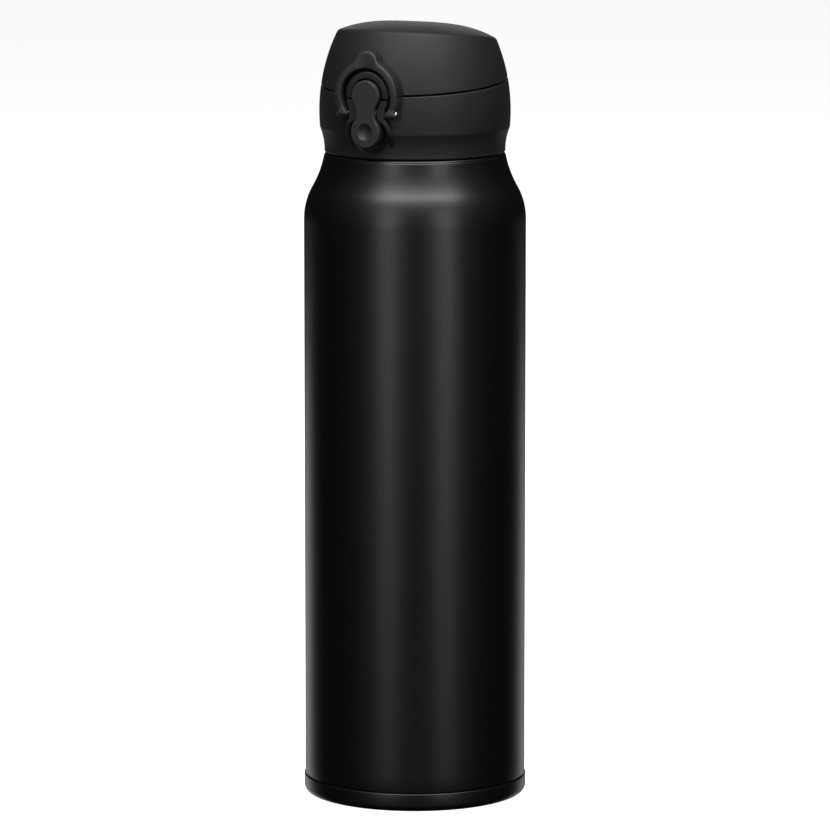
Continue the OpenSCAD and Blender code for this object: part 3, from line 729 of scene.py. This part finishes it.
def button():
    """The push button: its outline is drawn in along a rounded edge and then shrinks onto the
    line between its two centres, and the face dips into a round dimple."""
    line, normal = waisted_line(HEAD_Z, HEAD_R, LOBE_Z, LOBE_R, WAIST_BLEND)
    head_from, back_edge, fillet = 21.0, 0.15, 0.55
    dimple_edge, dimple_soft, hub_r, hub_play = 0.6, 0.05, 1.5, 0.1
    rows = []
    back = np.where(line[:, 1] > head_from, HEAD_BACK, BUTTON_BACK)
    spine = np.stack([0 * line[:, 0], np.clip(line[:, 1], LOBE_Z, HEAD_Z)], axis=-1)
    for k in np.linspace(0, 1, 60):
        flat = spine * (1 - k) + (line - normal * back_edge) * k
        over_spring = np.hypot(flat[:, 0], flat[:, 1] - LOBE_Z) < SPRING_HOLE_R
        rows.append(placed(flat, np.where(over_spring, SPRING_HOLE_END, back)))
    rows.append(placed(line, back + back_edge))
    for k in np.linspace(0, math.pi / 2, 9):
        inset = fillet * (1 - math.cos(k))
        w = np.full(len(line), BUTTON_FACE - fillet + fillet * math.sin(k))
        rows.append(placed(line - normal * inset, w))
    start = line - normal * fillet
    ball = (DIMPLE_R ** 2 + DIMPLE_DEPTH ** 2) / (2 * DIMPLE_DEPTH)
    for k in np.linspace(0, 1, 90)[1:]:
        flat = start * (1 - k) + spine * k
        away = np.hypot(flat[:, 0], flat[:, 1] - LOBE_Z)
        bowl = np.sqrt(np.maximum(ball ** 2 - away ** 2, 0)) - (ball - DIMPLE_DEPTH)
        sink = (bowl + np.sqrt(bowl ** 2 + dimple_soft ** 2)) / 2
        rows.append(placed(flat, BUTTON_FACE - np.where(away < DIMPLE_R + dimple_edge, sink, 0)))
    grid = np.stack(rows)
    hub = abs(line[np.abs(line[:, 1] - PIN_Z).argmin(), 0]) + BUTTON_GAP - hub_play
    sleeve = cross_lathe(rounded([[0, -hub], [hub_r, -hub, 0.1], [hub_r, hub, 0.1], [0, hub]]),
                         -PIN_W, PIN_Z + JOINT_Z)
    piece("button", [(grid, False, True), sleeve], BUTTON_PLASTIC, "button", ["push_button"],
          sharp=60)


def ring_reach(b):
    """Distance from the ring's centre to its outline with the thumb tab, in the direction b,
    found by halving."""
    low, high = np.full_like(b, RING_OUT - 0.5), np.full_like(b, RING_OUT + 6)
    for _ in range(40):
        middle = (low + high) / 2
        inside = waisted(middle * np.cos(b), RING_Z + middle * np.sin(b), TAB_Z, TAB_R, RING_Z,
                         RING_OUT, TAB_BLEND) < 0
        low, high = np.where(inside, middle, low), np.where(inside, high, middle)
    return (low + high) / 2


def ring_lines(b, clearance=0.0):
    """The ring's inner circle and its outline with the tab, in the directions b."""
    inner, reach = RING_IN + clearance, ring_reach(b) - clearance
    return [np.stack([r * np.cos(b), RING_Z + r * np.sin(b)], axis=-1) for r in (inner, reach)]


def leg_line(start, heading, end, n=16):
    """A curve from start, leaving in the direction of heading, to end."""
    bend = start + heading
    t = np.linspace(0, 1, n)[1:, None]
    return start * (1 - t) ** 2 + bend * 2 * t * (1 - t) + end * t ** 2


def lock_ring():
    """The lock ring: a rounded section carried from one leg over the thumb tab to the other.
    In front of the lid's pad it is a thin plate. Its legs are deep, turn in at their ends and
    are round about the pin."""
    leg = math.radians(-20)              # where the legs leave the ring's circle
    inner_run, outer_run = 1.9, 0.9      # how far the legs' two lines go straight on
    thin_lead, thin_turn = math.radians(2.4), math.radians(1.4)
    wall_gap, boss_h = 0.35, 2.2
    b = np.linspace(leg, math.pi - leg, 301)
    inner, outer = ring_lines(b)
    down = np.array([math.sin(leg), -math.cos(leg)])
    right_in = leg_line(inner[0], down * inner_run, np.array([RING_INNER_END, PIN_Z]))
    right_out = leg_line(outer[0], down * outer_run, np.array([RING_OUTER_END, PIN_Z]))
    inner = np.concatenate([right_in[::-1], inner, right_in * MIRROR])
    outer = np.concatenate([right_out[::-1], outer, right_out * MIRROR])
    mid = (inner + outer) / 2
    around = np.arctan2(mid[:, 1] - RING_Z, np.abs(mid[:, 0]))
    thin = smooth(np.clip((around - PAD_START + thin_lead) / thin_turn, 0, 1))
    back = RING_BACK + (clip_face(outer[:, 1], RING_CLIP_IN) + 0.02 - RING_BACK) * thin
    front = clip_face(outer[:, 1], RING_CLIP_OUT)
    outer_u = np.minimum(np.abs(outer[:, 0]), RING_OUT)
    behind = np.sqrt((CAP_WIDE_R + wall_gap) ** 2 - outer_u ** 2)
    behind = behind + (back - behind) * thin
    boss = smooth(np.clip((PIN_Z + boss_h - mid[:, 1]) / boss_h, 0, 1))
    front = front + (PIN_W + RING_BOSS_R - front) * boss
    back = back + (PIN_W - RING_BOSS_R - back) * boss
    behind = behind + (PIN_W - RING_BOSS_R - behind) * boss
    grid = swept([inner, outer], front, back, 1.35, 0.6, 0.2, back_out=behind)
    legs = []
    for end in (grid[0], grid[-1]):
        centre = np.array([end[:, 0].mean(), -PIN_W, PIN_Z + JOINT_Z])
        caps = []
        for step in np.linspace(0, math.pi / 2, 12)[1:]:
            c = math.cos(step)
            caps.append(centre + (end - centre) * np.array([0.62 + 0.38 * c ** 0.6, c, 1.0])
                        - np.array([0, 0, RING_BOSS_R * math.sin(step)]))
        legs.append(np.stack(caps))
    grid = np.concatenate([legs[0][::-1], grid, legs[1]])
    piece("ring", [closed_ends(grid)], BUTTON_PLASTIC, "ring", ["lock_ring"],
          sharp=60)


def pad():
    """The lid's pad behind the ring's thin part, flush with its outline."""
    b = np.linspace(PAD_START, math.pi - PAD_START, 241)
    lines = ring_lines(b, 0.06)
    grid = swept(lines, clip_face(lines[1][:, 1], LATCH_CLIP), 31.0, 0.08, 0.08, 0.05, 3)
    piece("ring_pad", [closed_ends(grid)], CAP_PLASTIC, "lid", ["lid_shell"])


# ------------------------------------------------------------------------- hinge, pins, seals
def keyhole(y, z, radius, back, front, end, way):
    """Outline of a knuckle in Y and Z: round about the pin and straight towards the wall that
    carries it, from back to front, ending at end. way is 1 upwards and -1 downwards."""
    a = np.linspace(math.acos((front - y) / radius), math.acos((back - y) / radius) - 2 * np.pi, 40)
    circle = np.stack([y + radius * np.cos(a), z + way * radius * np.sin(a)], axis=-1)
    return np.concatenate([circle, [[back, end], [front, end]]])


def prism(outline, x0, x1, edge=0.25):
    """A closed outline in Y and Z carried along X, with its two end faces' edges eased."""
    centre = outline.mean(axis=0)
    rows = []
    for x, shrink in ((x0, 1.0), (x0, edge / 2.5), (x0 + edge, 0.0), (x1 - edge, 0.0),
                      (x1, edge / 2.5), (x1, 1.0)):
        flat = outline + (centre - outline) * shrink
        rows.append(np.column_stack([np.full(len(flat), x), flat]))
    return np.stack(rows), False, True


def hinge():
    """The lid's barrel and the cap's two knuckles on one steel pin."""
    z = HINGE_Z + JOINT_Z
    barrel_end, knuckle_in, knuckle_out, pin_r = 9.2, 9.5, 13, 0.9
    barrel = keyhole(HINGE_Y, z, KNUCKLE_R, HINGE_Y - 2, HINGE_Y + 0.05, z + 4.2, 1)
    piece("lid_barrel", [prism(barrel, -barrel_end, barrel_end)], CAP_PLASTIC, "lid",
          ["lid_shell"])
    knuckle = keyhole(HINGE_Y, z, KNUCKLE_R, HINGE_Y - 1.7, HINGE_Y + 0.5, z - 5, -1)
    knuckles = [prism(knuckle, knuckle_in, knuckle_out), prism(knuckle, -knuckle_out, -knuckle_in)]
    piece("cap_knuckles", knuckles, CAP_PLASTIC, "cap", ["cap_body"])
    rod = rounded([[0, -knuckle_out], [pin_r, -knuckle_out, 0.25], [pin_r, knuckle_out, 0.25],
                   [0, knuckle_out]])
    piece("lid_pin", [cross_lathe(rod, HINGE_Y, z)], PIN_STEEL, "cap", ["hinge_pin"])
    end, step = RING_OUTER_END + 0.15, RING_INNER_END + 1.7
    end_r, middle_r, cone = 1.0, 0.5, 0.3      # the latch pin is thinner behind the button
    rod = rounded([[0, -end], [end_r, -end, 0.35], [end_r, -step, 0.1],
                   [middle_r, -step + cone, 0.1], [middle_r, step - cone, 0.1],
                   [end_r, step, 0.1], [end_r, end, 0.35], [0, end]])
    piece("ring_pin", [cross_lathe(rod, -PIN_W, PIN_Z + JOINT_Z)], PIN_STEEL, "cap",
          ["latch_pin"])


def cap_insides():
    """The stopper with its thread, the drinking spout, the lid's liner and the lid's seal."""
    plug, skirt, wall = 19.0, 25.5, 2.0
    core = [[DECK_BORE_R, 8], [DECK_BORE_R, 4, 0.3], [plug, 4, 0.4], [plug, 6, 0.1],
            [plug - 0.8, 6, 0.1], [plug - 0.8, 9, 0.1], [plug, 9, 0.1], [plug, 16.5, 0.3],
            [skirt, 16.5, 0.3], [skirt, 1.4, 0.3], [skirt + wall, 1.4, 0.3],
            [skirt + wall, DECK_Z, 0.1], [DECK_BORE_R, DECK_Z, 0.1], [DECK_BORE_R, 8]]
    piece("stopper", [lathe_sheet(core, lift=JOINT_Z, turns=192),
                      thread_sheet(skirt + 0.3, -1.3, 5.9)],
          INNER_PLASTIC, "cap", ["stopper_core"])
    sleeve, seat, lip = DECK_BORE_R - 0.8, DECK_Z + DECK_T, 1.15
    mouth = [[12.6, 15], [12.6, 9, 0.3], [sleeve, 9, 0.4], [sleeve, 11.5, 0.1],
             [sleeve - 0.7, 11.5, 0.1], [sleeve - 0.7, 13.5, 0.1], [sleeve, 13.5, 0.1],
             [sleeve, seat, 0.1], [18.6, seat, 0.2], [18.6, seat + 1.2, 0.3],
             [16.6, seat + 2, 0.8], [16.6, 32.9, lip], [14.2, 32.9, lip], [14.2, seat + 4, 2.0],
             [12.6, seat, 2.0], [12.6, 15]]
    piece("drinking_spout", [lathe_sheet(mouth, lift=JOINT_Z)], INNER_PLASTIC, "cap", ["spout"])
    plate = 34.1
    liner = [[0, plate], [17.9, plate, 0.2], [18.1, plate - 0.55, 0.2], [19.2, plate - 0.55, 0.2],
             [19.4, plate, 0.2], [25, plate, 1.2], [28, 29, 0.3], [29.3, 29, 0.3],
             [26.2, plate + 1.5, 0.8], [0, plate + 1.5]]
    piece("lid_inner", [lathe_sheet(liner, closed=False, lift=JOINT_Z)], INNER_PLASTIC, "lid",
          ["lid_liner"])
    seal = [[12.0, 33.6], [12.0, 33.0, 0.25], [17.6, 33.0, 0.25], [17.6, 34.1, 0.2],
            [12.0, 34.1, 0.2], [12.0, 33.6]]
    piece("lid_seal", [lathe_sheet(seal, lift=JOINT_Z)], SILICONE, "lid", ["lid_gasket"])


def dress_cad_nodes():
    """The nodes that stay as they are take a finish for what they are made of."""
    finishes = {"bottom_plate": MILL_STEEL, "evacuation_seal": SEAL_METAL, "getter": GETTER,
                "radiation_foil": COPPER, "stopper_gasket": SILICONE, "spout_gasket": SILICONE,
                "hinge_spring": SPRING_STEEL, "button_spring": SPRING_STEEL}
    for node, material in finishes.items():
        mesh = frame["nodes"][node].data
        mesh.materials.clear()
        mesh.materials.append(material)


# ----------------------------------------------------------------------- stage, light, camera
VIEW_AZIMUTH = math.radians(28.5)
VIEW_PITCH = 0.15386
VIEW_DISTANCE, VIEW_HEIGHT = 1.967, 0.4397
LENS_MM, SENSOR_MM = 244.5, 36.0
# Strength of the white surroundings: as seen, as a fill on rough surfaces, and the share of
# the fill that shows in reflections.
WORLD_SEEN, WORLD_FILL, WORLD_MIRROR = 8.0, 0.08, 0.03


def camera():
    """A long lens a little above the flask, with the latch to the left of its middle."""
    data = bpy.data.cameras.new("camera")
    data.lens, data.sensor_width = LENS_MM, SENSOR_MM
    data.clip_start, data.clip_end = 0.05, 60.0
    obj = bpy.data.objects.new("camera", data)
    obj.location = (VIEW_DISTANCE * math.sin(VIEW_AZIMUTH),
                    -VIEW_DISTANCE * math.cos(VIEW_AZIMUTH), VIEW_HEIGHT)
    obj.rotation_euler = (math.pi / 2 - VIEW_PITCH, 0, VIEW_AZIMUTH)
    bpy.context.scene.collection.objects.link(obj)
    bpy.context.scene.camera = obj


def softbox(name, turn, distance, height, width, tall, power, aim=0.14):
    """A soft rectangular light. turn is its angle from the camera's side, positive to the
    right, and it faces the flask's axis at the height aim."""
    data = bpy.data.lights.new(name, "AREA")
    data.shape, data.size, data.size_y, data.energy = "RECTANGLE", width, tall, power
    obj = bpy.data.objects.new(name, data)
    a = VIEW_AZIMUTH + math.radians(turn)
    obj.location = (distance * math.sin(a), -distance * math.cos(a), height)
    lean = math.atan2(height - aim, distance)
    obj.rotation_euler = (math.pi / 2 - lean, 0, a)
    bpy.context.scene.collection.objects.link(obj)


def stage():
    """A plain pale floor and plain soft light: two tall boxes in front, one over the flask, two
    low ones behind it that draw its edges and a high one behind it."""
    size = 14.0
    mesh = bpy.data.meshes.new("floor")
    mesh.from_pydata([(-size, -size, 0), (size, -size, 0), (size, size, 0), (-size, size, 0)], [],
                     [(0, 1, 2, 3)])
    floor = bpy.data.objects.new("floor", mesh)
    bpy.context.scene.collection.objects.link(floor)
    material = bpy.data.materials.new("pale_paper_floor")
    material.use_nodes = True
    shader = material.node_tree.nodes["Principled BSDF"]
    shader.inputs["Base Color"].default_value = linear("#f4f4f3")
    shader.inputs["Roughness"].default_value = 0.9
    shader.inputs["Emission Color"].default_value = linear("#ffffff")
    shader.inputs["Emission Strength"].default_value = 0.85
    mesh.materials.append(material)
    floor.visible_glossy = False
    floor.visible_diffuse = False
    floor.visible_shadow = False
    world = bpy.data.worlds.new("studio")
    bpy.context.scene.world = world
    world.use_nodes = True
    tree = world.node_tree
    ground = tree.nodes["Background"]
    ground.inputs["Color"].default_value = (1.0, 1.0, 1.0, 1.0)
    path = add(tree, "ShaderNodeLightPath")
    seen = add(tree, "ShaderNodeMapRange", {"To Min": WORLD_FILL, "To Max": WORLD_SEEN},
               {"Value": (path, "Is Camera Ray")})
    shown = add(tree, "ShaderNodeMapRange", {"To Min": 1.0, "To Max": WORLD_MIRROR},
                {"Value": (path, "Is Glossy Ray")})
    strength = add(tree, "ShaderNodeMath", {"operation": "MULTIPLY"})
    tree.links.new(seen.outputs["Result"], strength.inputs[0])
    tree.links.new(shown.outputs["Result"], strength.inputs[1])
    tree.links.new(strength.outputs["Value"], ground.inputs["Strength"])
    softbox("left_box", -28, 1.5, 0.42, 0.42, 1.1, 5.0)
    softbox("right_box", 31, 1.5, 0.42, 0.42, 1.1, 5.2)
    softbox("top_box", 5, 0.5, 1.25, 1.6, 0.7, 28.0, aim=0.25)
    softbox("left_edge", -150, 1.4, -0.45, 0.7, 0.8, 1.75)
    softbox("right_edge", 150, 1.4, -0.45, 0.7, 0.8, 1.35)
    softbox("back_box", 180, 1.6, 0.8, 0.8, 0.5, 3.0)


camera()
bottle()
cap_wall()
lid_wall()
collar()
housing()
pad()
button()
lock_ring()
hinge()
cap_insides()
dress_cad_nodes()
stage()
bpy.context.scene.view_settings.view_transform = "Standard"
